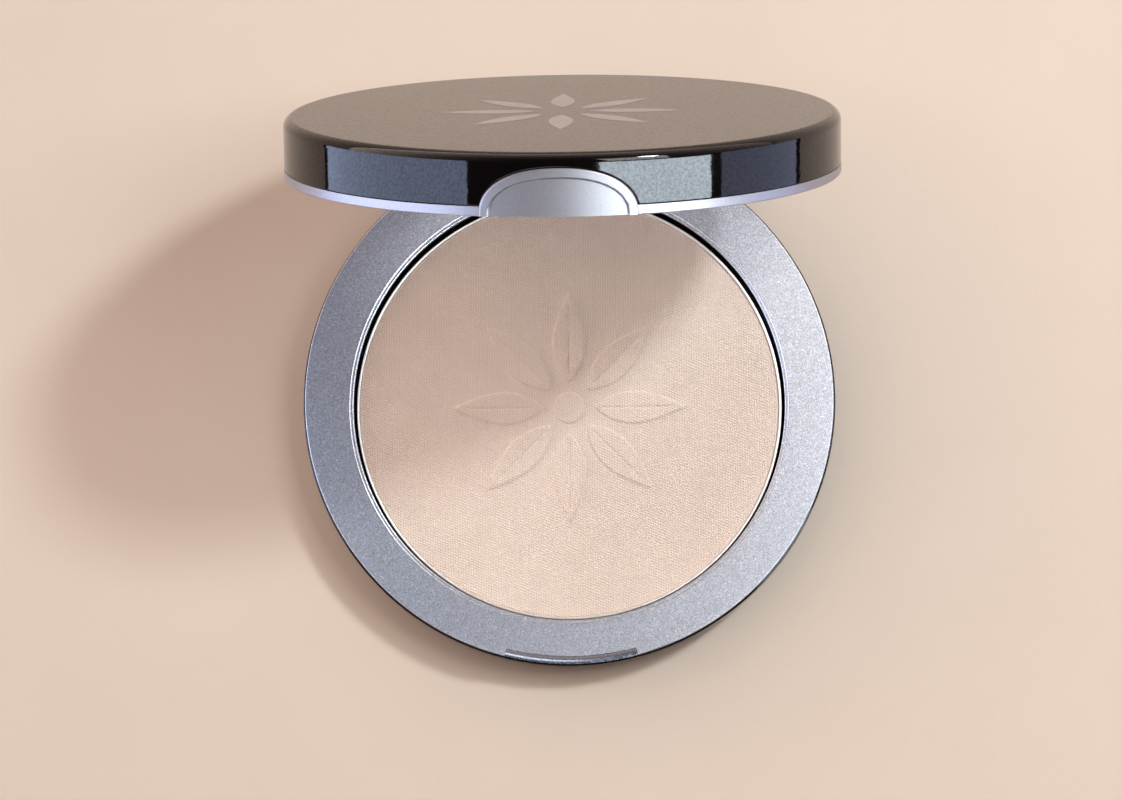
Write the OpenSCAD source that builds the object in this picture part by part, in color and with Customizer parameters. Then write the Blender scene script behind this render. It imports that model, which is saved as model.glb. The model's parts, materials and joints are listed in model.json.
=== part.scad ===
// Round pressed-powder compact: a base and a lid joined by a pin hinge at the back.
// Units are millimetres. The origin is the centre of the underside of the base,
// +Z is up, the thumb notch faces -Y and the hinge is at +Y.
// The lid is drawn closed and then turned open about the hinge axis.

/* [Body] */
// Outer diameter of the lid and of the deck ring
compact_d = 74; // [72:0.5:78]
// Height of the base, from its underside to the deck
base_h = 7.2; // [7:0.1:13]
// Thickness of the lid
lid_h = 8.1; // [8:0.1:12]
// Wall of the two gloss shells
wall = 1.2; // [1:0.05:1.3]
// Floor of the base shell
base_floor = 1.3; // [1:0.1:1.6]
// Top of the lid shell
lid_top = 1.3; // [1:0.1:1.6]
// How far the base shell stands out past the deck ring
shell_proud = 0.3; // [0.1:0.05:0.4]
// Rounding of the lower edge of the base shell
base_round = 3; // [1:0.1:4]
// Rounding of the upper edge of the lid shell
lid_round = 1.3; // [0.6:0.1:1.8]
// Angle at which the lid stands open
lid_open = 71; // [0:1:120]
// Gap between the deck and the closed lid
seam_gap = 0.2; // [0.15:0.05:0.3]

/* [Deck] */
// Thickness of the deck, which also shows as a band on the side
deck_t = 1.2; // [1.1:0.05:1.4]
// Rounding of the outer edges of the deck and of the lid band
edge_round = 0.25; // [0.1:0.05:0.3]
// Diameter of the well that holds the powder pan
well_d = 60.4; // [59.8:0.1:60.6]
// How far the well sits towards the front
well_shift = 0.75; // [0:0.05:0.8]
// Wall of the well
well_wall = 1; // [0.8:0.05:1]
// Width of the thumb notch along the front edge
notch_w = 18.8; // [10:0.2:20]
// Radius of the scooped hollow of the notch
notch_r = 1.25; // [1:0.05:1.3]

/* [Powder] */
// Outer diameter of the pan
pan_d = 59.5; // [58:0.1:59.6]
// Height of the pan
pan_h = 4.8; // [3:0.1:5]
// Sheet thickness of the pan
pan_t = 0.35; // [0.3:0.05:0.5]
// How far the pan lies off the middle of its well, towards the front
pan_shift = 0.3; // [0:0.05:0.3]
// How far the powder sits below the rim of the pan
powder_drop = 0.2; // [0.1:0.05:0.6]
// Thickness of the adhesive discs under the pan and behind the mirror
tape_t = 0.3; // [0.2:0.05:0.5]

/* [Lid] */
// Height of the silver band along the lower edge of the lid
band_h = 1.25; // [1.2:0.05:1.5]
// Width of the thumb arch at its foot
arch_w = 20.2; // [16:0.2:22]
// Height of the thumb arch above the lower edge of the lid
arch_h = 6.2; // [4:0.1:6.4]
// Width of the lip round the thumb panel
arch_lip = 1.1; // [0.8:0.1:1.4]
// Depth of the thumb panel behind the lip
panel_depth = 0.45; // [0.2:0.05:0.6]
// Diameter of the mirror
mirror_d = 60; // [56:0.5:60]
// Thickness of the mirror
mirror_t = 1.8; // [1.5:0.1:2]
// How far the mirror sits behind the face of the lid frame
mirror_drop = 0.5; // [0.3:0.1:0.6]

/* [Hinge] */
// Diameter of the hinge pin
pin_d = 1.5; // [1.2:0.1:1.6]
// Length of the hinge pin
pin_l = 20; // [18:0.5:22]
// Length of the knuckle of the lid, between the two knuckles of the base
knuckle_l = 10; // [8:0.5:11]
// Outer diameter of the knuckles
knuckle_d = 3.1; // [3:0.05:3.2]
// Distance of the hinge axis behind the edge of the deck
hinge_back = 0.7; // [0.65:0.05:0.8]
// Depth of the hinge axis below the deck
hinge_drop = 0.45; // [0.4:0.05:0.5]
// Radial clearance of the pin in the knuckle of the lid
pin_play = 0.05; // [0.02:0.01:0.08]

/* [Closure and label] */
// Diameter of the closure magnets
magnet_d = 3; // [2:0.1:3]
// Thickness of the closure magnets
magnet_t = 1.5; // [1:0.1:1.6]
// Angle of each magnet from the front, on either side
magnet_angle = 20; // [18:1:40]
// Diameter of the label under the base
label_d = 46; // [30:1:56]
// Thickness of the label
label_t = 0.15; // [0.1:0.05:0.15]

/* [Hidden] */
$fn = 96;
gloss_black = [0.04, 0.04, 0.045];
silver = [0.76, 0.76, 0.8];
aluminium = [0.88, 0.87, 0.85];
powder_beige = [0.88, 0.77, 0.68];
tape_white = [0.93, 0.92, 0.88];
magnet_grey = [0.45, 0.45, 0.48];
label_white = [0.95, 0.94, 0.92];
mirror_blue = [0.8, 0.86, 0.9];
arc_steps = 6;
arch_steps = 40;
// Exponent of the arch: 2 is an ellipse, and more is squarer
arch_power = 2.25;
// Amount by which a cutter passes through what it cuts
over = 1;

body_r = compact_d / 2;
shell_r = body_r + shell_proud;
shell_in_r = shell_r - wall;
well_r = well_d / 2;
ledge_w = 0.3;
bore_round = 0.35;
ledge_round = 0.3;
deck_low = base_h - deck_t;
spigot_w = 1.2;
spigot_h = 1.5;
pan_z = base_floor + tape_t;
pan_rim_z = pan_z + pan_h;
pan_y = -well_shift - pan_shift;
powder_round = 0.3;
tape_margin = 5;
label_recess = label_t + 0.15;

seam_z = base_h + seam_gap;
band_top = seam_z + band_h;
lid_z = seam_z + lid_h;
lid_in_r = body_r - wall;
arch_wall = 1.2;
mirror_play = 0.2;
mirror_bore_r = mirror_d / 2 + mirror_play;
mirror_z = seam_z + mirror_drop;
mirror_back_z = mirror_z + mirror_t;
cup_z = mirror_back_z + tape_t;
cup_floor = 1.2;
cup_wall = 1;

magnet_r = body_r - 3;
magnet_wall = 0.5;
magnet_skin = 0.7;
hinge_y = body_r + hinge_back;
hinge_z = base_h - hinge_drop;
knuckle_gap = 0.2;
hinge_gap = 0.25;
notch_angle = notch_w / body_r * 180 / PI;
notch_offset = 0.2;
hinge_cut_y = hinge_y - knuckle_d / 2 - 0.3;

// Points of an arc about [x, y], from angle a to angle b
function arc(x, y, r, a, b) = [for (i = [0:arc_steps])
    let (t = a + (b - a) * i / arc_steps) [x + r * cos(t), y + r * sin(t)]];

// Outline of the thumb arch, from its right foot over the top to its left foot
function arch(w, h) = [for (i = [0:arch_steps])
    let (t = 180 * i / arch_steps, c = cos(t), s = abs(sin(t)))
    [sign(c) * w / 2 * pow(abs(c), 2 / arch_power), h * pow(s, 2 / arch_power)]];

// Turns the closed lid open about the hinge axis
module opened() {
    translate([0, hinge_y, hinge_z]) rotate([-lid_open, 0, 0]) translate([0, -hinge_y, -hinge_z])
        children();
}

// A round bar along X, centred on the hinge axis
module hinge_bar(r, l) {
    translate([-l / 2, hinge_y, hinge_z]) rotate([0, 90, 0]) cylinder(r = r, h = l);
}

// A straight run of an outline in Y and Z, from x = a to x = b
module run_x(a, b) {
    translate([a, 0, 0]) rotate([90, 0, 90]) linear_extrude(height = b - a) children();
}

// A flat tube from z = low to z = high
module tube(outer, inner, low, high) {
    translate([0, 0, low]) difference() {
        cylinder(r = outer, h = high - low);
        translate([0, 0, -over]) cylinder(r = inner, h = high - low + 2 * over);
    }
}

// Places its children at the two closure magnets
module at_magnets(z) {
    for (side = [-1, 1])
        translate([side * magnet_r * sin(magnet_angle), -magnet_r * cos(magnet_angle), z]) children();
}

// Solid inside the thumb arch, from the axis of the compact out past the front
module arch_block(w, h) {
    translate([0, 0, seam_z]) rotate([90, 0, 0]) linear_extrude(height = shell_r + over)
        polygon(arch(w, h));
}

// Space that the knuckles of the base take in the lid
module base_knuckle_space() {
    space_l = (pin_l - knuckle_l) / 2 + knuckle_gap;
    for (side = [-1, 1])
        translate([side * (knuckle_l + space_l) / 2, 0, 0])
            hinge_bar(knuckle_d / 2 + hinge_gap, space_l);
}

// Outline of the base knuckle's arm, from the wall of the base up to the hinge axis
module base_arm_outline() {
    polygon([[hinge_cut_y - 1, hinge_z - 3.9], [hinge_cut_y + 0.2, hinge_z - 3.9],
             [hinge_y + 1.4, hinge_z - 0.6], [hinge_y, hinge_z],
             [hinge_cut_y, hinge_z - 0.2], [hinge_cut_y, deck_low], [hinge_cut_y - 1, deck_low]]);
    translate([hinge_y, hinge_z]) circle(d = knuckle_d);
}

// Outline of the lid knuckle's arm, from the band of the lid down to the hinge axis
module lid_arm_outline() {
    polygon([[hinge_cut_y, seam_z], [hinge_y, hinge_z], [hinge_y + 1.45, hinge_z + 0.5],
             [hinge_y, band_top], [hinge_cut_y, band_top]]);
    translate([hinge_y, hinge_z]) circle(d = knuckle_d);
}

// Gloss base cup: floor, outer wall, the wall of the pan's well and two hinge knuckles
module base_shell() {
    arm_l = (pin_l - knuckle_l) / 2 - knuckle_gap;
    color(gloss_black) difference() {
        union() {
            rotate_extrude() polygon(concat(
                [[0, 0]],
                arc(shell_r - base_round, base_round, base_round, -90, 0),
                arc(shell_r - edge_round, deck_low - edge_round, edge_round, 0, 90),
                [[shell_in_r, deck_low], [shell_in_r, base_floor], [0, base_floor]]));
            translate([0, -well_shift, 0])
                tube(well_r + well_wall, well_r, base_floor - 0.1, deck_low);
            difference() {
                for (a = [-pin_l / 2, pin_l / 2 - arm_l])
                    run_x(a, a + arm_l) base_arm_outline();
                cylinder(r = shell_in_r, h = deck_low);
            }
        }
        translate([0, 0, -over]) cylinder(d = label_d + 0.6, h = label_recess + over);
        hinge_bar(pin_d / 2, pin_l + 2 * over);
        hinge_bar(knuckle_d / 2 + hinge_gap, knuckle_l + 2 * knuckle_gap);
    }
}

// Silver deck: flat ring with a stepped bore, a spigot inside the wall and magnet cups
module deck_ring() {
    color(silver) difference() {
        union() {
            rotate_extrude() polygon(concat(
                [[0, deck_low], [body_r, deck_low]],
                arc(body_r - edge_round, base_h - edge_round, edge_round, 0, 90),
                [[0, base_h]]));
            tube(shell_in_r, shell_in_r - spigot_w, deck_low - spigot_h, deck_low + 0.1);
            at_magnets(deck_low - spigot_h)
                cylinder(d = magnet_d + 2 * magnet_wall, h = spigot_h + 0.1);
        }
        translate([0, -well_shift, base_h]) rotate_extrude() polygon(concat(
            [[0, -base_h], [well_r, -base_h]],
            arc(well_r + ledge_round, -bore_round - ledge_round, ledge_round, 180, 90),
            arc(well_r + ledge_round + ledge_w + bore_round, -bore_round, bore_round, 180, 90),
            [[well_r + ledge_round + ledge_w + bore_round, over], [0, over]]));
        rotate([0, 0, -90 - notch_angle / 2]) rotate_extrude(angle = notch_angle)
            translate([body_r + notch_offset, base_h + notch_offset]) circle(r = notch_r);
        at_magnets(base_h - magnet_skin - magnet_t - over) cylinder(d = magnet_d, h = magnet_t + over);
        translate([-pin_l / 2 - hinge_gap, hinge_cut_y, 0])
            cube([pin_l + 2 * hinge_gap, shell_r, base_h + over]);
    }
}

// Shallow aluminium dish
module powder_pan() {
    color(aluminium) translate([0, pan_y, pan_z]) difference() {
        cylinder(d = pan_d, h = pan_h);
        translate([0, 0, pan_t]) cylinder(d = pan_d - 2 * pan_t, h = pan_h);
    }
}

// Powder cake that fills the pan, with a rounded upper edge
module pressed_powder() {
    cake_r = pan_d / 2 - pan_t;
    cake_top = pan_rim_z - powder_drop;
    color(powder_beige) translate([0, pan_y, 0]) rotate_extrude() polygon(concat(
        [[0, pan_z + pan_t], [cake_r, pan_z + pan_t]],
        arc(cake_r - powder_round, cake_top - powder_round, powder_round, 0, 90),
        [[0, cake_top]]));
}

// Adhesive disc between the floor of the base and the pan
module pan_adhesive() {
    color(tape_white) translate([0, pan_y, base_floor])
        cylinder(d = pan_d - 2 * tape_margin, h = tape_t);
}

// Two disc magnets in the cups under the deck
module base_magnets() {
    color(magnet_grey) at_magnets(base_h - magnet_skin - magnet_t) cylinder(d = magnet_d, h = magnet_t);
}

// Blank label in the recess under the base
module base_label() {
    color(label_white) translate([0, 0, label_recess - label_t]) cylinder(d = label_d, h = label_t);
}

// Steel pin, held in the base knuckles and free in the lid knuckle
module hinge_pin() {
    color(magnet_grey) hinge_bar(pin_d / 2, pin_l);
}

// Gloss lid cap with a rounded top edge and the arched cut-out at the front
module lid_shell() {
    color(gloss_black) opened() difference() {
        rotate_extrude() polygon(concat(
            [[lid_in_r, band_top], [body_r, band_top]],
            arc(body_r - lid_round, lid_z - lid_round, lid_round, 0, 90),
            [[0, lid_z], [0, lid_z - lid_top], [lid_in_r, lid_z - lid_top]]));
        arch_block(arch_w, arch_h);
    }
}

// Silver lid frame: edge band, mirror cup, spigot, thumb arch, magnet cups and hinge knuckle
module lid_frame() {
    color(silver) opened() difference() {
        union() {
            rotate_extrude() polygon(concat(
                [[0, seam_z]],
                arc(body_r - edge_round, seam_z + edge_round, edge_round, -90, 0),
                [[body_r, band_top], [0, band_top]]));
            tube(lid_in_r, lid_in_r - spigot_w, band_top - 0.1, band_top + spigot_h);
            translate([0, -well_shift, seam_z]) cylinder(r = mirror_bore_r + cup_wall,
                h = cup_z + cup_floor - seam_z);
            intersection() {
                arch_block(arch_w, arch_h);
                tube(body_r, lid_in_r - arch_wall, seam_z + edge_round, lid_z);
            }
            at_magnets(band_top - 0.1)
                cylinder(d = magnet_d + 2 * magnet_wall, h = magnet_skin + magnet_t - band_h + 0.1);
            run_x(-knuckle_l / 2, knuckle_l / 2) lid_arm_outline();
        }
        translate([0, -well_shift, seam_z - over])
            cylinder(r = mirror_bore_r, h = cup_z - seam_z + over);
        intersection() {
            arch_block(arch_w - 2 * arch_lip, arch_h - arch_lip);
            tube(body_r + over, body_r - panel_depth, 0, lid_z);
        }
        at_magnets(seam_z + magnet_skin) cylinder(d = magnet_d, h = magnet_t + over);
        hinge_bar(pin_d / 2 + pin_play, knuckle_l + 2 * over);
        base_knuckle_space();
    }
}

// Round glass mirror
module mirror_disc() {
    color(mirror_blue) opened() translate([0, -well_shift, mirror_z]) cylinder(d = mirror_d, h = mirror_t);
}

// Adhesive disc between the mirror and the floor of its cup
module mirror_adhesive() {
    color(tape_white) opened() translate([0, -well_shift, mirror_back_z])
        cylinder(d = mirror_d - 2 * tape_margin, h = tape_t);
}

// Two disc magnets in the cups of the lid frame
module lid_magnets() {
    color(magnet_grey) opened() at_magnets(seam_z + magnet_skin) cylinder(d = magnet_d, h = magnet_t);
}

base_shell();
deck_ring();
powder_pan();
pressed_powder();
pan_adhesive();
base_magnets();
base_label();
hinge_pin();
lid_shell();
lid_frame();
mirror_disc();  // mirror
mirror_adhesive();
lid_magnets();
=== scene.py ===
"""Looks of a round powder compact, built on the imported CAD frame.

Lengths are millimetres, and are turned into metres when a mesh is made. The distances and sizes of
lights are metres. The lid's pieces are built closed, and then turned about the hinge to where the
frame holds the lid.
"""
import bmesh
import bpy
import json
import math
from mathutils import Matrix, Vector


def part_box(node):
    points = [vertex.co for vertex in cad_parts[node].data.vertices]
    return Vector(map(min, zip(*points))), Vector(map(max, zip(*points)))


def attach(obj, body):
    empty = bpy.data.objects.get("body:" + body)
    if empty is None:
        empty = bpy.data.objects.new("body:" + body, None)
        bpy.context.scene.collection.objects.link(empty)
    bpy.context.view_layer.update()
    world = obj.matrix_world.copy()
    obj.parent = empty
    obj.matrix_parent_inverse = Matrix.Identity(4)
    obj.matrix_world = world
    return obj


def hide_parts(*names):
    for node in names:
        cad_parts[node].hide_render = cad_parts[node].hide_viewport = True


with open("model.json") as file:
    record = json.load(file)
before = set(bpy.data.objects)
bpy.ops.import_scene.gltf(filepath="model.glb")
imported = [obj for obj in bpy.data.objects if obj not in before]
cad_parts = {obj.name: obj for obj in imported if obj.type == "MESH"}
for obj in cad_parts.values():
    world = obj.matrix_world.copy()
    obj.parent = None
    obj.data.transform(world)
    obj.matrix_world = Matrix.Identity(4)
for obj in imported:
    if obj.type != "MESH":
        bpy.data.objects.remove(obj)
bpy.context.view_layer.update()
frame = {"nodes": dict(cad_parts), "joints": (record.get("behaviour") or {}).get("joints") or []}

MM = 0.001

# ---------------------------------------------------------------- sizes read from the frame


def box_mm(node):
    """Lowest and highest corner of a CAD node, in millimetres."""
    low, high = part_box(node)
    return low / MM, high / MM


hinge = frame["joints"][0]
hinge_y, hinge_z = hinge["pos_m"][1] / MM, hinge["pos_m"][2] / MM
lid_open = -hinge["range_deg"][0]

deck_high = box_mm("deck_ring")[1]
pan_low, pan_high = box_mm("powder_pan")
cake_low, cake_high = box_mm("pressed_powder")
body_r = deck_high.x
deck_z = deck_high.z
pan_y = (pan_low.y + pan_high.y) / 2
pan_r = pan_high.x
cake_r = cake_high.x
mirror_r = box_mm("mirror")[1].x
pin_half = box_mm("hinge_pin")[1].x

# ---------------------------------------------------------------- sizes repeated from the design

# the deck, its bore and its notch
deck_t = 1.2
edge_round = 0.15  # outer edges of the deck and of the lid's band
well_r = 30.2
well_y = -0.75  # the well sits a little towards the front
bore_round = 0.2  # upper edge of the bore
ledge_w = 0.24  # flat ledge between the bore's two rounded edges
ledge_round = 0.15  # lower edge of the bore
notch_w = 18.8
notch_r = 1.25  # radius of the notch's scoop
notch_offset = 0.2  # how far the scoop's axis lies outside and above the deck's edge
hinge_room = 0.3  # the deck's gap and the lid's arm begin this far in front of the knuckles
cut_past = 1.0  # cutters pass the surfaces that they cut by this much

# the pan and the powder
pan_t = 0.35
pan_bend = 0.4  # outer radius where the pan's floor turns up
cake_edge = 0.25  # rounding of the powder's edge
cake_sink = 0.01  # the rosette's top lies this far below the top of the CAD powder

# the lid
seam_z = deck_z + 0.2  # lower edge of the closed lid
band_h = 1.25  # height of the silver band
lid_h = 8.1  # height of the lid with its band
lid_wall = 1.2
lid_top = 1.3  # thickness of the lid's top
lid_round = 1.3  # upper edge of the lid
shell_edge = 0.2  # lower edge of the lid's shell, above the band
mirror_play = 0.2  # gap round the mirror
mirror_cup = 2.6  # depth of the cup for the mirror
cup_floor = 1.2  # thickness of the cup's floor
cup_wall = 1.0  # thickness of the cup's wall
bezel_round = 0.35  # rounding of the frame round the mirror

# the thumb arch
arch_w = 20.2
arch_h = 6.2
arch_lip = 1.1  # width of the lip round the thumb panel
arch_power = 2.25  # 2 is an ellipse, and more is squarer
arch_t = 1.7  # how far the arch reaches in from the lid's wall
arch_bite = 0.02  # the arch's back reaches this much further into the frame
arch_side_bite = 0.04  # and its outline reaches this much into the band
arch_proud = 0.03  # the lip stands this far out of the wall
arch_play = 0.05  # gap between the shell and the arch
arch_round = 0.25  # rounding of the shell's edge round the arch
arch_flare = 0.3  # the cutter is this much wider past the wall
panel_depth = 0.45  # the thumb panel lies this far behind the lip
plug_reach = 4.0  # a cutter passes the wall by this much on both sides

# the hinge
knuckle_r = 1.55
knuckle_half = 5.0  # half the length of the lid's knuckle
knuckle_space = 0.25  # clearance round the knuckles
knuckle_room = 0.4  # gap at each end of the row of knuckles
pin_bore_r = 0.8
arm_round = 0.15  # edges of the lid's hinge arm

# the rosette
petals = 8
petal_start = 3.6  # distances from the middle
petal_end = 16.5
petal_lean = 0.8  # below 1, a petal is widest nearer the middle
petal_half = 2.3  # half the width of a petal
petal_disc = 2.2  # radius of the disc in the middle
vein_half = 0.25  # half the width of the vein along a petal
vein_depth = 0.6  # as a share of the emboss
emboss = 0.27  # height of the rosette above the powder
emboss_slope = 0.36  # width of its sloping sides
emboss_groove = 0.09  # depth of the groove round it
groove_half = 0.26  # half the width of that groove
print_share = 0.7  # width of a printed petal as a share of an embossed one
ink_lift = 0.004  # gap below the ink
ink_t = 0.02

# steps round a turned piece, and the lid's turn from closed to where the frame holds it
STEPS = 360
LID_TURN = (Matrix.Translation((0, hinge_y * MM, hinge_z * MM))
            @ Matrix.Rotation(math.radians(-lid_open), 4, "X")
            @ Matrix.Translation((0, -hinge_y * MM, -hinge_z * MM)))

# ---------------------------------------------------------------- mesh helpers


def make_object(name, points, faces):
    """A mesh object from points in millimetres."""
    mesh = bpy.data.meshes.new(name)
    mesh.from_pydata([Vector(p) * MM for p in points], [], faces)
    mesh.validate()
    made = bpy.data.objects.new(name, mesh)
    bpy.context.scene.collection.objects.link(made)
    return made


def arc(x, y, r, start, end, steps=8):
    """Points of an arc about (x, y), with its angles in degrees."""
    angles = [math.radians(start + (end - start) * i / steps) for i in range(steps + 1)]
    return [(x + r * math.cos(a), y + r * math.sin(a)) for a in angles]


def lathe(name, profile, centre_y=0.0):
    """A closed solid: a closed outline of (radius, height) turned about a vertical axis."""
    points, rings = [], []
    for r, z in profile:
        if r < 1e-6:
            rings.append([len(points)] * STEPS)
            points.append((0.0, centre_y, z))
            continue
        rings.append(list(range(len(points), len(points) + STEPS)))
        for i in range(STEPS):
            a = 2 * math.pi * (i + 0.5) / STEPS
            points.append((r * math.sin(a), centre_y - r * math.cos(a), z))
    faces = []
    for ring, above in zip(rings, rings[1:] + rings[:1]):
        for i in range(STEPS):
            j = (i + 1) % STEPS
            face = []
            for index in (ring[i], ring[j], above[j], above[i]):
                if index not in face:
                    face.append(index)
            if len(face) > 2:
                faces.append(face)
    return make_object(name, points, faces)


def prism_x(name, outline, x_low, x_high):
    """A solid with an outline of (y, z), drawn out along X."""
    n = len(outline)
    points = [(x, y, z) for x in (x_low, x_high) for y, z in outline]
    faces = [list(range(n))[::-1], list(range(n, 2 * n))]
    faces += [[i, (i + 1) % n, n + (i + 1) % n, n + i] for i in range(n)]
    return make_object(name, points, faces)


def outward(piece):
    """Turns the faces of a closed mesh outwards."""
    work = bmesh.new()
    work.from_mesh(piece.data)
    bmesh.ops.recalc_face_normals(work, faces=work.faces)
    work.to_mesh(piece.data)
    work.free()


def combine(piece, other, operation):
    """Applies a boolean of other to piece, and removes other."""
    outward(piece)
    outward(other)
    step = piece.modifiers.new("combine", "BOOLEAN")
    step.operation = operation
    step.object = other
    step.solver = "MANIFOLD"
    apply_modifiers(piece)
    bpy.data.objects.remove(other)


def apply_modifiers(piece):
    """Replaces the piece's mesh with what its modifiers give."""
    shape = piece.evaluated_get(bpy.context.evaluated_depsgraph_get())
    piece.data = bpy.data.meshes.new_from_object(shape)
    piece.modifiers.clear()


def soften(piece, width):
    """Rounds a piece's edges, apart from the shallow ones."""
    bevel = piece.modifiers.new("edges", "BEVEL")
    bevel.width = width * MM
    bevel.segments = 3
    bevel.limit_method = "ANGLE"
    bevel.angle_limit = math.radians(40)
    apply_modifiers(piece)


def finish_piece(piece, body, materials, node=None, sharp=30, wall_r=0):
    """Shades a piece smooth between sharp edges, gives it its materials, hands it to its body and hides
    the CAD node that it replaces.
    """
    outward(piece)
    for face in piece.data.polygons:
        face.use_smooth = True
        face.material_index = 0
    piece.data.set_sharp_from_angle(angle=math.radians(sharp))
    weigh = piece.modifiers.new("normals", "WEIGHTED_NORMAL")
    weigh.keep_sharp = True
    apply_modifiers(piece)
    if wall_r:
        true_wall(piece, wall_r)
    piece.data.materials.clear()
    for material in materials:
        piece.data.materials.append(material)
    if body == "lid":
        piece.data.transform(LID_TURN)
    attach(piece, body)
    if node:
        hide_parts(node)


def true_wall(piece, r):
    """Gives the flat facets of an upright wall of radius r the normals of a true cylinder."""
    mesh = piece.data
    normals = [corner.vector.copy() for corner in mesh.corner_normals]
    for face in mesh.polygons:
        flat = Vector((face.center.x, face.center.y, 0))
        if abs(flat.length / MM - r) > 0.1 or flat.normalized().dot(face.normal) < 0.999:
            continue
        for k in face.loop_indices:
            co = mesh.vertices[mesh.loops[k].vertex_index].co
            normals[k] = Vector((co.x, co.y, 0)).normalized()
    mesh.normals_split_custom_set(normals)


# ---------------------------------------------------------------- material helpers


class Nodes:
    """Adds nodes to one material with few words."""

    def __init__(self, name):
        self.material = bpy.data.materials.new(name)
        self.material.use_nodes = True
        self.tree = self.material.node_tree
        self.tree.nodes.clear()
        self.shader = self.add("ShaderNodeBsdfPrincipled")
        out = self.add("ShaderNodeOutputMaterial")
        self.link(self.shader.outputs[0], out.inputs[0])
        self.place = self.add("ShaderNodeTexCoord").outputs["Object"]

    def add(self, kind, **settings):
        """A new node of a kind."""
        node = self.tree.nodes.new(kind)
        for key, value in settings.items():
            setattr(node, key, value)
        return node

    def link(self, source, target):
        """Joins an output to an input."""
        self.tree.links.new(source, target)

    def feed(self, target, value):
        """Gives an input a constant, or joins it to an output."""
        if isinstance(value, (int, float, tuple)):
            target.default_value = value
        else:
            self.link(value, target)

    def maths(self, operation, a, b=0.0):
        """The result of a sum on one or two values."""
        node = self.add("ShaderNodeMath", operation=operation)
        for target, value in zip(node.inputs, (a, b)):
            self.feed(target, value)
        return node.outputs[0]

    def noise(self, scale, detail=2.0):
        """Smooth noise, 0 to 1, with a number of features per metre."""
        node = self.add("ShaderNodeTexNoise")
        self.link(self.place, node.inputs["Vector"])
        node.inputs["Scale"].default_value = scale
        node.inputs["Detail"].default_value = detail
        return node.outputs[0]

    def cells(self, scale):
        """A random colour for each small cell."""
        node = self.add("ShaderNodeTexVoronoi")
        self.link(self.place, node.inputs["Vector"])
        node.inputs["Scale"].default_value = scale
        return node.outputs["Color"]

    def split(self, colour):
        """The three parts of a colour or place."""
        node = self.add("ShaderNodeSeparateXYZ")
        self.link(colour, node.inputs[0])
        return node.outputs

    def spread(self, value, low, high, to_low, to_high):
        """Maps a value from one range to another, and holds it there."""
        node = self.add("ShaderNodeMapRange")
        for target, v in zip(node.inputs, (value, low, high, to_low, to_high)):
            self.feed(target, v)
        return node.outputs[0]

    def mix(self, share, a, b):
        """A colour between a and b, which are inputs 6 and 7 of the node."""
        node = self.add("ShaderNodeMix", data_type="RGBA")
        self.feed(node.inputs[0], share)
        self.feed(node.inputs[6], a)
        self.feed(node.inputs[7], b)
        return node.outputs[2]

    def bump(self, height, strength, distance_mm):
        """Relief of the surface from a height."""
        node = self.add("ShaderNodeBump")
        self.link(height, node.inputs["Height"])
        node.inputs["Strength"].default_value = strength
        node.inputs["Distance"].default_value = distance_mm * MM
        self.link(node.outputs[0], self.shader.inputs["Normal"])

    def set(self, **values):
        """Feeds sockets of the shader: names are written with _ for a space."""
        for key, value in values.items():
            self.feed(self.shader.inputs[key.replace("_", " ")], value)


def rgb(red, green, blue):
    """A colour given as 0 to 255 display values, in linear light."""
    def linear(v):
        v = v / 255
        return v / 12.92 if v <= 0.04045 else ((v + 0.055) / 1.055) ** 2.4
    return (linear(red), linear(green), linear(blue), 1.0)


def gloss_black():
    """Polished black plastic with a faint moulded waviness and a little handling haze."""
    m = Nodes("gloss_black")
    m.set(Base_Color=m.mix(m.noise(30), (0.0028, 0.0020, 0.0024, 1), (0.0045, 0.0030, 0.0032, 1)),
          Roughness=m.spread(m.noise(160, 3), 0.35, 0.75, 0.03, 0.07), IOR=1.45,
          Specular_IOR_Level=m.spread(m.noise(2900, 2), 0.35, 0.65, 0.35, 0.50))
    m.bump(m.noise(1200, 2), 0.1, 0.05)
    return m.material


def gloss_top():
    """The lid's face: the same plastic with a grain in its gloss, and a warmer black base colour that
    paints in a warm reflection of the floor.
    """
    m = Nodes("gloss_top")
    grain = m.noise(2300, 3)
    # painted reflection: a warmer black base colour than the wall's
    m.set(Base_Color=m.mix(grain, (0.006, 0.0028, 0.0032, 1), (0.013, 0.0060, 0.0068, 1)),
          Roughness=m.spread(m.noise(160, 3), 0.35, 0.75, 0.05, 0.10), IOR=1.45,
          Specular_IOR_Level=m.spread(grain, 0.32, 0.68, 0.10, 0.42))
    m.bump(grain, 0.1, 0.05)
    return m.material


def silver_paint():
    """Silver metallic paint: a fine flake, with painted glints: random grains lifted to near white in
    the base colour.
    """
    m = Nodes("silver_paint")
    flake = m.split(m.cells(7600))
    grain = m.split(m.cells(11500))
    # painted glints: a few flake cells get a near-white base colour
    painted_glint = m.spread(flake[0], 0.9, 1.0, 0.0, 0.55)
    tone = m.mix(grain[1], rgb(206, 204, 209), rgb(142, 140, 147))
    m.set(Base_Color=m.mix(painted_glint, tone, rgb(250, 250, 255)), Metallic=1.0,
          Roughness=m.spread(flake[1], 0.0, 1.0, 0.33, 0.42))
    m.bump(flake[2], 0.25, 0.015)
    return m.material


def silver_satin():
    """The same silver on the lid's band and thumb arch, where it lies smoother."""
    m = Nodes("silver_satin")
    fine = m.split(m.cells(8000))
    tone = m.mix(fine[0], rgb(160, 157, 161), rgb(150, 147, 152))
    m.set(Base_Color=tone, Metallic=0.85, Roughness=m.spread(fine[1], 0, 1, 0.40, 0.46))
    m.bump(fine[2], 0.08, 0.01)
    return m.material


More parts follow.
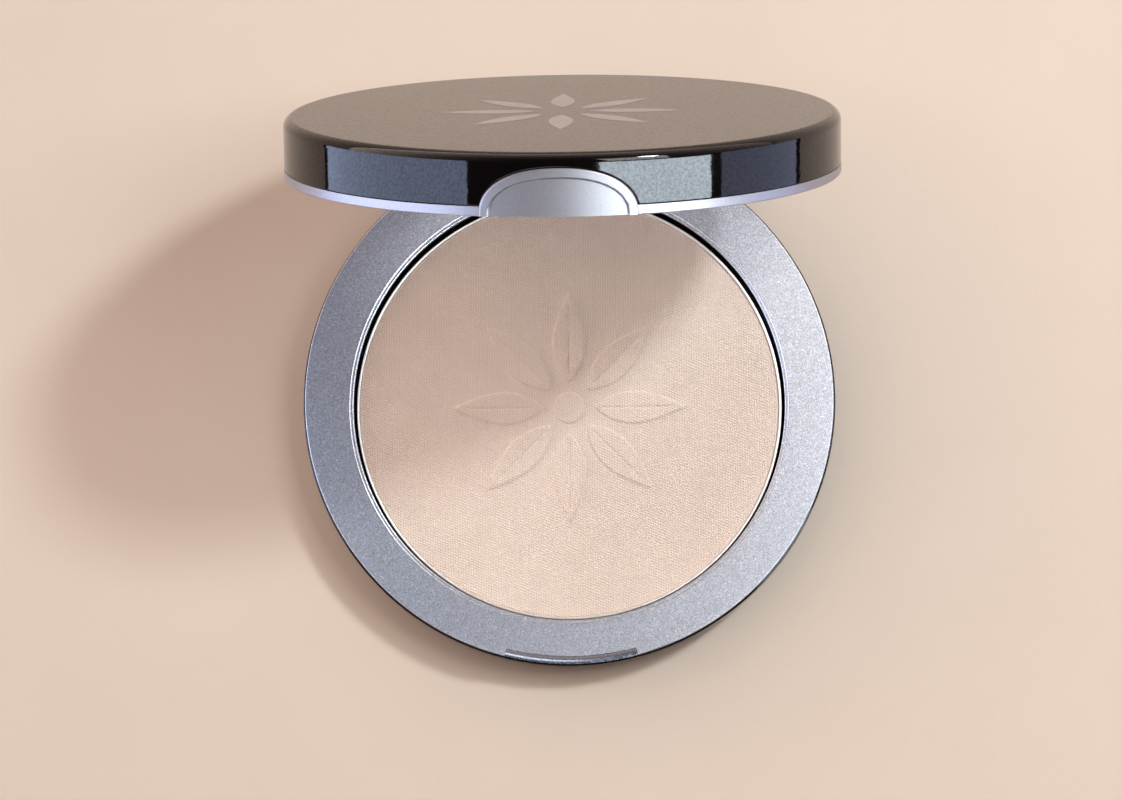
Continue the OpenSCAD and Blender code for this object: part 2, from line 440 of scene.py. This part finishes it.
def silver_edge_highlight():
    """Silver on the turned edges round the bore: smoother than the deck, with a lighter base colour that
    paints in their highlights.
    """
    m = Nodes("silver_edge_highlight")
    m.set(Base_Color=m.mix(m.noise(700), rgb(226, 226, 232), rgb(214, 214, 222)), Metallic=0.85,
          Roughness=m.spread(m.noise(1500), 0.3, 0.7, 0.22, 0.28))
    return m.material


def silver_scoop_shade():
    """Smoother silver in the hollow of the thumb notch, darker and bluer than the deck: painted shade
    and painted reflection.
    """
    m = Nodes("silver_scoop_shade")
    m.set(Base_Color=m.mix(m.noise(400), rgb(161, 167, 182), rgb(148, 153, 168)), Metallic=0.9,
          Roughness=m.spread(m.noise(1500), 0.3, 0.7, 0.22, 0.30))
    return m.material


def aluminium_sheet():
    """Bright stamped aluminium with a fine grain."""
    m = Nodes("aluminium_sheet")
    m.set(Base_Color=m.mix(m.noise(900), rgb(244, 238, 230), rgb(232, 225, 216)), Metallic=0.8,
          Roughness=m.spread(m.noise(2400), 0.3, 0.7, 0.3, 0.4))
    m.bump(m.noise(2600), 0.05, 0.01)
    return m.material


def powder_cake():
    """Pressed powder: matt, slightly uneven in tone, with the imprint of the woven press cloth and
    painted shade in its hollows.
    """
    m = Nodes("powder_cake")
    pitch, pick_share, slant = 0.35 * MM, 1.1, 0.42
    x, y, _ = m.split(m.place)
    drift = m.maths("MULTIPLY", m.noise(90), 0.5 * MM)
    warp_x = m.maths("ADD", x, drift)
    warp_y = m.maths("ADD", m.maths("MULTIPLY", x, slant), m.maths("ADD", y, drift))
    threads = m.maths("SINE", m.maths("MULTIPLY", warp_x, 2 * math.pi / pitch))
    picks = m.maths("SINE", m.maths("MULTIPLY", warp_y, 2 * math.pi / (pitch * pick_share)))
    weave = m.maths("MULTIPLY", m.maths("ADD", threads, 1.0), m.maths("ADD", picks, 1.0))
    depth = m.spread(m.noise(70, 3), 0.3, 0.7, 0.75, 1.0)
    height = m.maths("ADD", m.maths("MULTIPLY", weave, depth), m.maths("MULTIPLY", m.noise(4000), 1.6))
    tone = m.mix(m.noise(45, 4), rgb(243, 226, 214), rgb(240, 222, 209))
    # painted shade: the weave's low points get a darker base colour
    weave_shade = m.maths("MULTIPLY", m.spread(weave, 0.0, 0.85, 0.40, 0.0), depth)
    m.set(Base_Color=m.mix(weave_shade, tone, rgb(190, 158, 138)), Roughness=0.92,
          Specular_IOR_Level=0.15, Sheen_Weight=0.12, Sheen_Roughness=0.6)
    m.bump(height, 0.75, 0.045)
    return m.material


def printed_grey():
    """Matt pinkish-grey ink."""
    m = Nodes("printed_grey")
    m.set(Base_Color=m.mix(m.noise(1500), rgb(149, 141, 140), rgb(141, 134, 133)), Roughness=0.6)
    m.bump(m.noise(3000), 0.1, 0.01)
    return m.material


def silvered_glass():
    """Mirror with a very faint clouding."""
    m = Nodes("silvered_glass")
    m.set(Base_Color=m.mix(m.noise(25), (0.90, 0.92, 0.92, 1), (0.93, 0.945, 0.95, 1)), Metallic=1.0,
          Roughness=m.spread(m.noise(300, 3), 0.4, 0.8, 0.008, 0.03))
    return m.material


def drawn_steel():
    """Steel wire with a fine grain."""
    m = Nodes("drawn_steel")
    m.set(Base_Color=m.mix(m.noise(2500), rgb(180, 180, 184), rgb(150, 150, 156)), Metallic=1.0,
          Roughness=m.spread(m.noise(1800), 0.3, 0.7, 0.25, 0.42))
    m.bump(m.noise(3000), 0.15, 0.01)
    return m.material


def nickel():
    """Nickel plating of the magnets."""
    m = Nodes("nickel")
    m.set(Base_Color=m.mix(m.noise(800), rgb(190, 188, 184), rgb(205, 203, 198)), Metallic=1.0,
          Roughness=m.spread(m.noise(1500), 0.3, 0.7, 0.15, 0.25))
    return m.material


def foam_tape():
    """White foam tape with fine pores."""
    m = Nodes("foam_tape")
    m.set(Base_Color=m.mix(m.noise(1800), rgb(228, 226, 218), rgb(206, 203, 194)), Roughness=0.9)
    m.bump(m.noise(2200), 0.4, 0.03)
    return m.material


def satin_paper():
    """Blank satin label."""
    m = Nodes("satin_paper")
    m.set(Base_Color=m.mix(m.noise(700, 4), rgb(240, 238, 233), rgb(231, 228, 222)),
          Roughness=m.spread(m.noise(1200), 0.3, 0.7, 0.42, 0.55))
    m.bump(m.noise(3500), 0.12, 0.01)
    return m.material


BLACK = gloss_black()
LID_FACE_GLOSS = gloss_top()
SILVER = silver_paint()
EDGE_HIGHLIGHT = silver_edge_highlight()
SATIN = silver_satin()
SCOOP_SHADE = silver_scoop_shade()
SHEET = aluminium_sheet()
POWDER = powder_cake()
PRINT = printed_grey()

# ---------------------------------------------------------------- the thumb arch


def arch_point(angle, width, height):
    """A point (x, height above the seam) on the outline of the thumb arch."""
    c, s = math.cos(angle), abs(math.sin(angle))
    share = 2 / arch_power
    return math.copysign(width / 2 * abs(c) ** share, c), height * s ** share


def on_wall(x, r, z):
    """The point of the front wall at x and radius r."""
    return (x, -math.sqrt(max(r * r - x * x, 0.0)), z)


def ease(t):
    """A smooth step from 0 to 1."""
    t = min(max(t, 0.0), 1.0)
    return t * t * (3 - 2 * t)


def arch_cutter(name, grow, radii):
    """A closed plug of the arch's shape, on the curve of the wall.

    radii lists each radius and how much wider the outline is there.
    """
    steps = 96
    count = 2 * (steps + 1)
    points, faces = [], []
    for r, wider in radii:
        width, height = arch_w + 2 * (grow + wider), arch_h + grow + wider
        top = [arch_point(math.pi * i / steps, width, height) for i in range(steps + 1)]
        outline = top + [(x, -cut_past) for x, _ in top[::-1]]
        points += [on_wall(x, r, seam_z + z) for x, z in outline]
    for k in range(len(radii) - 1):
        for i in range(count):
            j = (i + 1) % count
            faces.append([k * count + i, k * count + j, (k + 1) * count + j, (k + 1) * count + i])
    for first in (0, (len(radii) - 1) * count):
        for i in range(steps):
            above, below = first + i, first + count - 1 - i
            faces.append([above, above + 1, below - 1, below])
    return make_object(name, points, faces)


def arch_depth(x, z):
    """How far the surface lies behind the lip at x and at height z above the seam."""
    width, height = arch_w / 2 - arch_lip, arch_h - arch_lip
    share = ((abs(x) / width) ** arch_power + (z / height) ** arch_power) ** (1 / arch_power)
    reach = math.hypot(x, z)
    inside = reach * (1 / share - 1) if share > 1e-6 else width
    outer = ((2 * abs(x) / arch_w) ** arch_power + (z / arch_h) ** arch_power) ** (1 / arch_power)
    rim = reach * (1 / outer - 1) if outer > 1e-6 else width
    step_w, rim_w, rim_drop = 0.34, 0.2, 0.1
    return panel_depth * ease(inside / step_w) + rim_drop * (1 - ease(rim / rim_w)) ** 2


def arch_body(name):
    """The silver lip and the recessed thumb panel, as one closed solid on the curve of the wall."""
    around, across, inner_r = 200, 84, body_r - arch_t - arch_bite
    points, grid = [], []
    for depth_side in (0, 1):
        for i in range(around + 1):
            x1, z1 = arch_point(math.pi * i / around, arch_w, arch_h)
            row = []
            for k in range(across + 1):
                x, z = x1 * k / across, z1 * k / across
                if k == 0 and i > 0:
                    row.append(grid[depth_side * (around + 1)][0])
                    continue
                r = inner_r if depth_side else body_r + arch_proud - arch_depth(x, z)
                row.append(len(points))
                points.append(on_wall(x, r, seam_z + z))
            grid.append(row)
    front, back = grid[:around + 1], grid[around + 1:]
    faces = []
    for sheet_rows in (front, back):
        for a, b in zip(sheet_rows, sheet_rows[1:]):
            for k in range(across):
                face = [a[k], b[k], b[k + 1], a[k + 1]]
                faces.append(face if k else face[1:])
    faces += [[front[i][-1], front[i + 1][-1], back[i + 1][-1], back[i][-1]] for i in range(around)]
    for i in (0, around):
        faces += [[front[i][k], front[i][k + 1], back[i][k + 1], back[i][k]] for k in range(across)]
    return make_object(name, points, faces)


# ---------------------------------------------------------------- the base


def notch_cutter(name):
    """The scooped hollow of the front notch: a round bar bent along the edge of the deck."""
    half = notch_w / body_r / 2
    along, around = 48, 48
    points, faces = [], []
    for i in range(along + 1):
        a = -half + 2 * half * i / along
        for k in range(around):
            t = 2 * math.pi * k / around
            r = body_r + notch_offset + notch_r * math.cos(t)
            z = deck_z + notch_offset + notch_r * math.sin(t)
            points.append((r * math.sin(a), -r * math.cos(a), z))
    for i in range(along):
        for k in range(around):
            j = (k + 1) % around
            faces.append([i * around + k, i * around + j, (i + 1) * around + j, (i + 1) * around + k])
    faces += [list(range(around)), list(range(along * around, (along + 1) * around))[::-1]]
    return make_object(name, points, faces)


def build_deck():
    """Silver deck with its two-step bore, thumb notch and hinge gap."""
    low = deck_z - deck_t
    deck = lathe("deck_ring", [(0, low), (body_r, low)]
                 + arc(body_r - edge_round, deck_z - edge_round, edge_round, 0, 90) + [(0, deck_z)])
    outer_bore = well_r + ledge_round + ledge_w + bore_round
    below, above = low - cut_past, deck_z + cut_past
    bore = ([(0, below), (well_r, below)]
            + arc(well_r + ledge_round, deck_z - bore_round - ledge_round, ledge_round, 180, 90)
            + arc(outer_bore, deck_z - bore_round, bore_round, 180, 90)
            + [(outer_bore, above), (0, above)])
    combine(deck, lathe("bore", bore, well_y), "DIFFERENCE")
    combine(deck, notch_cutter("notch"), "DIFFERENCE")
    front, back = hinge_y - knuckle_r - hinge_room, body_r + cut_past
    gap = [(front, below), (back, below), (back, above), (front, above)]
    half = pin_half + knuckle_space
    combine(deck, prism_x("gap", gap, -half, half), "DIFFERENCE")
    finish_piece(deck, "base", [SILVER, EDGE_HIGHLIGHT, SCOOP_SHADE], "deck_ring")
    paint, edge, scoop = range(3)
    for face in deck.data.polygons:
        x, y, z = face.center / MM
        # the turned edges of the bore, in the lighter silver with painted highlights, and then the
        # hollow of the notch, but not its ends
        if math.hypot(x, y - well_y) < outer_bore + 0.01 and face.normal.z < 0.999:
            face.material_index = edge
        # the notch's hollow gets the darker, bluer silver of painted shade and painted reflection
        if z < deck_z - 0.02 and y < -body_r * 0.9 and abs(x) < notch_w / 2:
            face.material_index = paint if abs(face.normal.x) > 0.8 else scoop


def build_pan():
    """Aluminium pan with a rolled rim."""
    low, high, bead = pan_low.z, pan_high.z, pan_t / 2
    outline = ([(0, low), (pan_r - pan_bend, low)]
               + arc(pan_r - pan_bend, low + pan_bend, pan_bend, -90, 0)
               + arc(pan_r - bead, high - bead, bead, 0, 180)
               + [(pan_r - pan_t, low + pan_t), (0, low + pan_t)])
    finish_piece(lathe("powder_pan", outline, pan_y), "base", [SHEET], "powder_pan")


def petal_outline(u):
    """Half the width of a rosette petal at a distance u from the middle."""
    along = (u - petal_start) / (petal_end - petal_start)
    return petal_half * math.sin(math.pi * along ** petal_lean) if 0 < along < 1 else 0.0


def petal_height(x, y):
    """Height of the embossed rosette: petals round a small disc, raised from the cake."""
    reach, angle = math.hypot(x, y), math.atan2(y, x)
    turn = 2 * math.pi / petals
    local = (angle + turn / 2) % turn - turn / 2
    u, v = reach * math.cos(local), abs(reach * math.sin(local))
    width = petal_outline(u)
    petal = ease((width - v) / emboss_slope + 0.5) * ease(width / emboss_slope)
    vein_from, vein_fade = 0.7, 0.5
    vein = (1 - ease(v / vein_half)) * ease((width - vein_from) / vein_fade)
    disc = ease((petal_disc - reach) / emboss_slope + 0.5)
    groove = (1 - ease(abs(width - v) / groove_half)) * ease(width / emboss_slope)
    groove = max(groove, 1 - ease(abs(reach - petal_disc) / groove_half))
    return emboss * max(petal - vein_depth * vein, disc) - emboss_groove * groove


def build_cake():
    """Pressed powder: a disc with a rounded edge and the raised rosette."""
    # fine rings under the rosette, and coarse ones outside it
    fine, coarse, columns = 176, 20, 500
    fine_r = petal_end + 1.0
    radii = [fine_r * i / fine for i in range(1, fine + 1)]
    radii += [fine_r + (cake_r - fine_r) * math.sin(math.pi / 2 * i / coarse)
              for i in range(1, coarse + 1)]
    base_z = cake_high.z - emboss - cake_sink
    points = [(0.0, pan_y, base_z + petal_height(0, 0))]
    faces = []
    for r in radii:
        past = max(0.0, (r - cake_r + cake_edge) / cake_edge)
        drop = cake_edge * (1 - math.sqrt(max(1 - past * past, 0.0)))
        for k in range(columns):
            a = 2 * math.pi * k / columns
            x, y = r * math.cos(a), r * math.sin(a)
            points.append((x, pan_y + y, base_z - drop + petal_height(x, y)))
    for k in range(columns):
        a = 2 * math.pi * k / columns
        points.append((cake_r * math.cos(a), pan_y + cake_r * math.sin(a), cake_low.z))
    rings = len(radii)
    for k in range(columns):
        j = (k + 1) % columns
        faces.append([0, 1 + k, 1 + j])
        for i in range(rings):
            a, b = 1 + i * columns, 1 + (i + 1) * columns
            faces.append([a + k, b + k, b + j, a + j])
    faces.append([1 + rings * columns + k for k in range(columns)][::-1])
    cake = make_object("pressed_powder", points, faces)
    finish_piece(cake, "base", [POWDER], "pressed_powder", sharp=70)


# ---------------------------------------------------------------- the lid


def build_lid_shell():
    """Gloss lid cap, cut out round the thumb arch with a rounded edge."""
    low, top = seam_z + band_h, seam_z + lid_h
    inner = body_r - lid_wall
    cap = lathe("lid_shell", arc(body_r - shell_edge, low + shell_edge, shell_edge, -90, 0, 6)
                + arc(body_r - lid_round, top - lid_round, lid_round, 0, 90, 14)
                + [(0, top), (0, top - lid_top), (inner, top - lid_top), (inner, low)])
    steps = 6
    lips = [(body_r - arch_round * (1 - math.sin(t)), arch_round * (1 - math.cos(t)))
            for t in [math.radians(90 * i / steps) for i in range(steps + 1)]]
    radii = [(inner - plug_reach, 0.0)] + lips + [(body_r + plug_reach, arch_round + arch_flare)]
    combine(cap, arch_cutter("arch_cut", arch_play, radii), "DIFFERENCE")
    finish_piece(cap, "lid", [BLACK, LID_FACE_GLOSS], "lid_shell", wall_r=body_r)
    # the upward faces get the warmer black of the painted warm reflection
    upwards = LID_TURN.to_3x3() @ Vector((0, 0, 1))
    top_index = 1
    for face in cap.data.polygons:
        if face.normal.dot(upwards) > 0.9:
            face.material_index = top_index


def build_lid_frame():
    """Silver lid frame: band, bezel round the mirror, thumb arch and hinge knuckle."""
    top = seam_z + band_h
    frame_top = seam_z + mirror_cup + cup_floor
    bore = mirror_r + mirror_play
    mouth = bore + bezel_round
    ring = lathe("lid_frame", [(0, seam_z)]
                 + arc(body_r - edge_round, seam_z + edge_round, edge_round, -90, 0)
                 + [(body_r, top), (bore + cup_wall, top), (bore + cup_wall, frame_top), (0, frame_top)])
    cup = ([(0, seam_z - cut_past), (mouth, seam_z - cut_past), (mouth, seam_z)]
           + arc(mouth, seam_z + bezel_round, bezel_round, 270, 180)
           + [(bore, seam_z + mirror_cup), (0, seam_z + mirror_cup)])
    combine(ring, lathe("cup", cup, well_y), "DIFFERENCE")
    radii = [(body_r - arch_t, 0.0), (body_r + plug_reach, 0.0)]
    combine(ring, arch_cutter("arch_gap", -arch_side_bite, radii), "DIFFERENCE")
    space = arc(hinge_y, hinge_z, knuckle_r + knuckle_space, 0, 360, 64)[:-1]
    half = pin_half + knuckle_room
    combine(ring, prism_x("space", space, -half, half), "DIFFERENCE")
    arm = prism_x("arm", lid_arm_outline(), -knuckle_half, knuckle_half)
    soften(arm, arm_round)
    pin_bore = arc(hinge_y, hinge_z, pin_bore_r, 0, 360, 40)[:-1]
    combine(arm, prism_x("pin_bore", pin_bore, -pin_half, pin_half), "DIFFERENCE")
    parts = [ring, arch_body("arch"), arm]
    for part in parts:
        outward(part)
    join(parts)
    finish_piece(ring, "lid", [SATIN], "lid_frame", sharp=28)


def lid_arm_outline():
    """Outline of the lid's hinge arm and knuckle, from the band down to the pin."""
    front = hinge_y - knuckle_r - hinge_room
    under_pin = arc(hinge_y, hinge_z, knuckle_r, -190, 18, 40)
    return [(front, seam_z + band_h), (front, seam_z)] + under_pin + [(hinge_y, seam_z + band_h)]


def join(pieces):
    """Joins meshes into the first one."""
    with bpy.context.temp_override(active_object=pieces[0], selected_editable_objects=pieces):
        bpy.ops.object.join()


def build_print():
    """The printed rosette on top of the lid: thin petals of ink."""
    low = seam_z + lid_h + ink_lift
    steps, points, faces = 24, [], []
    for petal in range(petals):
        turn = 2 * math.pi * petal / petals
        first = len(points)
        reach = [petal_start + (petal_end - petal_start) * i / steps for i in range(steps + 1)]
        outline = [(u, print_share * petal_outline(u)) for u in reach]
        outline += [(u, -v) for u, v in outline[-2:0:-1]]
        for z in (low, low + ink_t):
            for u, v in outline:
                points.append((u * math.cos(turn) - v * math.sin(turn),
                               u * math.sin(turn) + v * math.cos(turn), z))
        n = len(outline)
        faces += [[first + k for k in range(n)][::-1], [first + n + k for k in range(n)]]
        faces += [[first + k, first + (k + 1) % n, first + n + (k + 1) % n, first + n + k]
                  for k in range(n)]
    ink = make_object("lid_print", points, faces)
    finish_piece(ink, "lid", [PRINT])


# ---------------------------------------------------------------- CAD nodes that stay


def dress_cad_nodes():
    """Gives each CAD node that stays its own material."""
    tape = foam_tape()
    magnet = nickel()
    dress = {"base_shell": BLACK, "hinge_pin": drawn_steel(), "mirror": silvered_glass(),
             "mirror_adhesive": tape, "pan_adhesive": tape, "base_magnets": magnet,
             "lid_magnets": magnet, "base_label": satin_paper()}
    for name, material in dress.items():
        mesh = frame["nodes"][name].data
        mesh.materials.clear()
        mesh.materials.append(material)


# ---------------------------------------------------------------- stage

# angles along the lid's wall, from its front, between which it mirrors each card
RIGHT_CARD = (8.0, 31.3)
SIDE_CARD = (33.8, 55.0)
LEFT_CARD = (-53.5, -18.0)
LIGHTS_FACE = Vector((0, 0, 0.03))  # metres
# lengths in millimetres and angles in degrees
CAMERA = {"elevation": 82.665, "yaw": -8.0, "roll": -8.548, "distance": 646.4,
          "aim_x": -1.130, "aim_y": 0.071, "lens": 148.2}


def build_floor():
    """A plain pale floor."""
    m = Nodes("floor")
    m.set(Base_Color=m.mix(m.noise(60, 6), rgb(220, 205, 192), rgb(216, 200, 186)), Roughness=0.95,
          Specular_IOR_Level=0.1)
    m.bump(m.noise(900, 4), 0.3, 0.1)
    half, z = 1500.0, -0.02
    corners = [(-half, -half, z), (half, -half, z), (half, half, z), (-half, half, z)]
    floor = make_object("floor", corners, [[0, 1, 2, 3]])
    floor.data.materials.append(m.material)


def area_light(name, towards, distance, size, radiance, colour, shape="RECTANGLE"):
    """An area light that faces the compact from a distance in metres."""
    light = bpy.data.lights.new(name, "AREA")
    light.shape = shape
    light.size, light.size_y = size
    area = size[0] * size[1] * (math.pi / 4 if shape == "DISK" else 1)
    light.energy = 4 * area * radiance  # how Blender relates the power and radiance of such a light
    light.color = colour
    back = Vector(towards).normalized()
    side = Vector((-back.y, back.x, 0)).normalized()
    top = back.cross(side)
    turned = Matrix((side, top, back)).transposed().to_4x4()
    holder = bpy.data.objects.new(name, light)
    holder.matrix_world = Matrix.Translation(LIGHTS_FACE + back * distance) @ turned
    bpy.context.scene.collection.objects.link(holder)
    return holder


def wall_mirror(angle, distance):
    """Where a ray from the camera lands, mirrored by the lid's wall at an angle from its front."""
    turn = math.radians(angle)
    outward_dir = Vector((math.sin(turn), -math.cos(turn), 0))
    spot = LID_TURN @ ((outward_dir * body_r + Vector((0, 0, seam_z + lid_h / 2))) * MM)
    normal = LID_TURN.to_3x3() @ outward_dir
    view = (bpy.context.scene.camera.matrix_world.translation - spot).normalized()
    return spot + (2 * normal.dot(view) * normal - view) * distance


def card(name, span, distance, half, radiance, colour):
    """A glowing card that the lid's wall mirrors over a span of angles, at a distance in metres.

    half is half its height. It lights nothing that isn't glossy.
    """
    start, end = span
    steps = 24
    axis = LID_TURN.to_3x3() @ Vector((0, 0, 1)) * half * MM
    points = []
    for i in range(steps + 1):
        middle = wall_mirror(start + (end - start) * i / steps, distance)
        points += [(middle - axis) / MM, (middle + axis) / MM]
    faces = [[2 * i, 2 * i + 1, 2 * i + 3, 2 * i + 2] for i in range(steps)]
    made = make_object(name, points, faces)
    made.data.materials.append(glow(name, radiance, colour))
    made.visible_camera = False
    made.visible_shadow = False
    made.visible_diffuse = False


def glow(name, radiance, colour):
    """A material that gives off light evenly."""
    material = bpy.data.materials.new(name)
    material.use_nodes = True
    tree = material.node_tree
    tree.nodes.clear()
    light = tree.nodes.new("ShaderNodeEmission")
    light.inputs[0].default_value = (*colour, 1)
    light.inputs[1].default_value = radiance
    tree.links.new(light.outputs[0], tree.nodes.new("ShaderNodeOutputMaterial").inputs[0])
    return material


def build_lights():
    """A soft key from behind on the right, cards at both sides, and a warm surround."""
    area_light("key", (0.511, 0.341, 0.789), 1.0, (0.13, 0.13), 88, (0.90, 1.01, 1.04), "DISK")
    area_light("overhead", (0.45, 0.12, 0.885), 0.33, (0.14, 0.14), 4.7, (0.97, 0.965, 0.96))
    card("card_right", RIGHT_CARD, 0.6, 70, 15, (0.85, 0.97, 1.06))
    card("card_right_side", SIDE_CARD, 0.14, 45, 2.1, (0.62, 0.68, 1.0))
    card("card_left", LEFT_CARD, 0.14, 45, 4.7, (0.60, 0.72, 1.03))
    dark = [(LEFT_CARD[0] - 1.2, LEFT_CARD[0]), (LEFT_CARD[1], RIGHT_CARD[0]),
            (RIGHT_CARD[1], SIDE_CARD[0]), (SIDE_CARD[1], SIDE_CARD[1] + 1.4)]
    for number, span in enumerate(dark):
        card(f"card_dark_{number}", span, 0.135, 45, 0.012, (1.0, 0.7, 0.9))
    front = area_light("front", (-0.30, -0.80, 0.52), 0.5, (0.34, 0.10), 4, (0.95, 0.98, 1.0))
    front.visible_diffuse = False
    fill = area_light("fill", (-0.56, 0.32, 0.76), 1.3, (1.5, 1.5), 0.74, (1.0, 0.82, 0.72))
    fill.visible_glossy = False
    build_world()


def build_world():
    """A surround that is warm at the horizon, dark overhead and dimmer in front."""
    world = bpy.data.worlds.new("surround")
    world.use_nodes = True
    tree = world.node_tree

    def maths(operation, a, b):
        """The result of a sum on two values."""
        node = tree.nodes.new("ShaderNodeMath")
        node.operation = operation
        for target, value in zip(node.inputs, (a, b)):
            if isinstance(value, float):
                target.default_value = value
            else:
                tree.links.new(value, target)
        return node.outputs[0]

    split = tree.nodes.new("ShaderNodeSeparateXYZ")
    tree.links.new(tree.nodes.new("ShaderNodeTexCoord").outputs["Generated"], split.inputs[0])
    fall, least, strength = 1.5, 0.14, 3.2
    middle, behind_share, right_share = 0.55, 0.45, -0.40
    height = maths("MAXIMUM", split.outputs[2], 0.0)
    fade = maths("POWER", maths("SUBTRACT", 1.0, height), fall)
    behind = maths("ADD", maths("MULTIPLY", split.outputs[1], behind_share), middle)
    right = maths("MULTIPLY", split.outputs[0], right_share)
    side = maths("MAXIMUM", maths("ADD", behind, right), least)
    sky = tree.nodes["Background"]
    sky.inputs[0].default_value = (1.0, 0.80, 0.715, 1)
    tree.links.new(maths("MULTIPLY", maths("MULTIPLY", fade, side), strength), sky.inputs[1])
    bpy.context.scene.world = world


def build_camera():
    """A long lens almost straight above, at the angle of the original view."""
    elevation, roll = math.radians(CAMERA["elevation"]), math.radians(CAMERA["roll"])
    back = Vector((0, -math.cos(elevation), math.sin(elevation)))
    right = Vector((1, 0, 0))
    up = right.cross(-back)
    side = right * math.cos(roll) + up * math.sin(roll)
    top = up * math.cos(roll) - right * math.sin(roll)
    turn = Matrix.Rotation(math.radians(-CAMERA["yaw"]), 3, "Z")
    aim = Vector((CAMERA["aim_x"], CAMERA["aim_y"], deck_z))
    place = turn @ (aim + back * CAMERA["distance"])
    axes = [turn @ axis for axis in (side, top, back)]
    camera = bpy.data.objects.new("camera", bpy.data.cameras.new("camera"))
    camera.data.lens = CAMERA["lens"]
    camera.data.sensor_width = 36
    camera.data.clip_start = 0.01
    camera.data.clip_end = 20
    turned = Matrix([[axes[c][r] for c in range(3)] for r in range(3)])
    camera.matrix_world = Matrix.Translation(place * MM) @ turned.to_4x4()
    bpy.context.scene.collection.objects.link(camera)
    bpy.context.scene.camera = camera


build_camera()
build_floor()
build_lights()
build_deck()
build_pan()
build_cake()
build_lid_shell()
build_lid_frame()
build_print()
dress_cad_nodes()
bpy.context.scene.view_settings.view_transform = "Standard"
